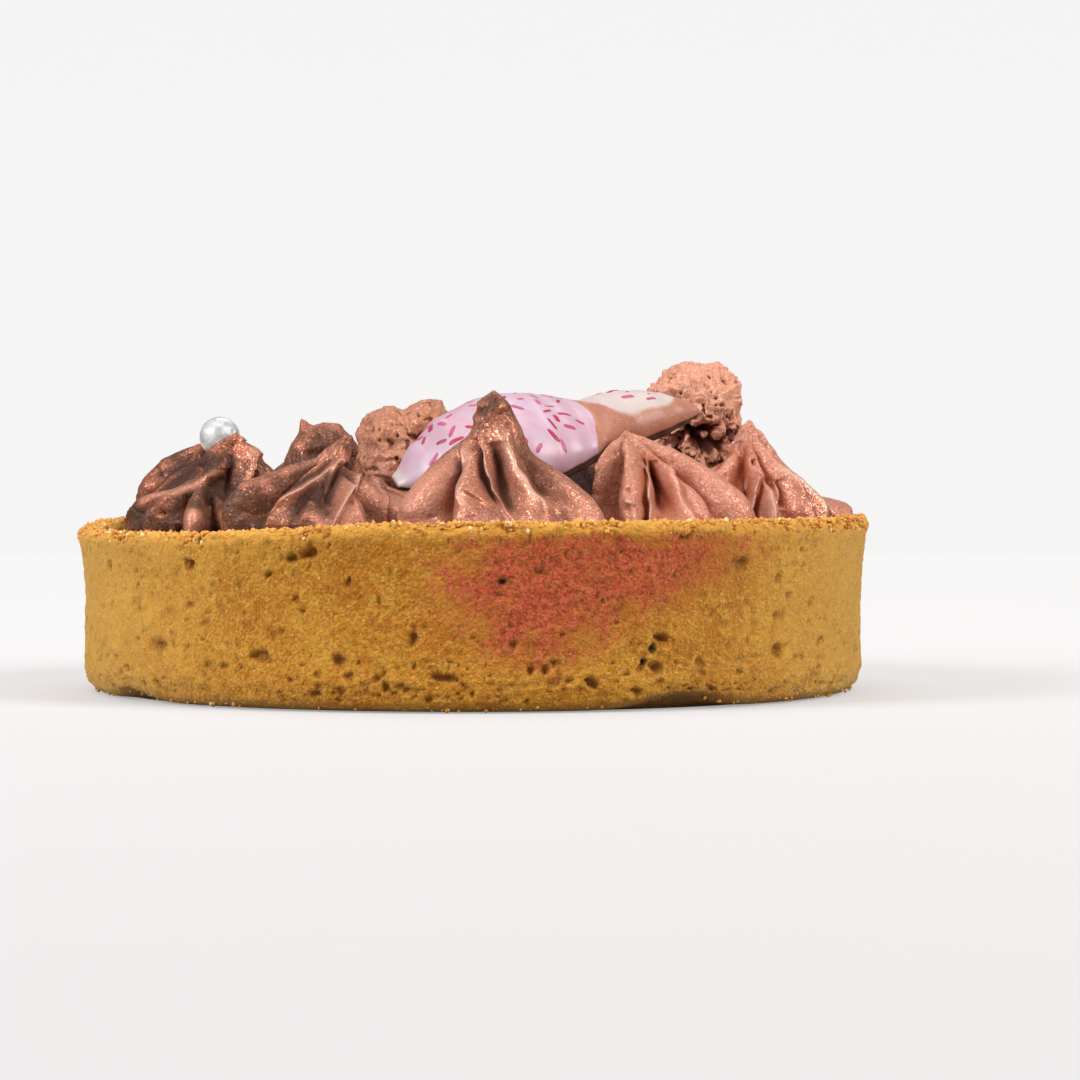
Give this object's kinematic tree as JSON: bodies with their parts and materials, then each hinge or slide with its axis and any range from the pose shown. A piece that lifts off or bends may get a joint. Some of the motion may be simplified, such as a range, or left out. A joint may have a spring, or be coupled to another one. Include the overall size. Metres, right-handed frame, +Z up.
{
  "type": "praline tart",
  "caption": "Round shortcrust tart covered with piped chocolate cream peaks, topped with a moulded chocolate fish, pieces of brittle and a silver sugar pearl.",
  "frame": {"origin": "middle of the flat foot of the shortcrust case, on the surface it rests on", "axes": "+Z up out of the tart, -Y the side that the front peak and the fish's face look towards, +X the side of the fish's tail"},
  "size_m": [0.0941, 0.0941, 0.0394],
  "materials": {
    "shortcrust": "matte baked shortcrust, golden brown, porous",
    "praline_cream": "smooth brown praline filling",
    "copper_cream": "piped chocolate cream dusted with copper lustre",
    "copper_brittle": "rough porous brittle dusted with copper lustre",
    "pink_chocolate": "moulded milk chocolate with a pink and white coat",
    "silver_pearl": "silver-grey sugar pearl"
  },
  "bodies": {
    "root": {"shortcrust_case": "shortcrust", "praline_filling": "praline_cream", "peak_front": "copper_cream", "peak_front_right": "copper_cream", "peak_right": "copper_cream", "peak_front_left": "copper_cream", "peak_left": "copper_cream", "peak_far_left": "copper_cream", "peak_back_left": "copper_cream", "peak_back": "copper_cream", "peak_back_right": "copper_cream", "peak_far_right": "copper_cream", "peak_inner_front": "copper_cream", "peak_inner_right": "copper_cream", "peak_inner_back": "copper_cream", "peak_inner_left": "copper_cream", "chocolate_fish": "pink_chocolate", "brittle_right": "copper_brittle", "brittle_left": "copper_brittle", "silver_pearl": "silver_pearl"}
  },
  "joints": []
}
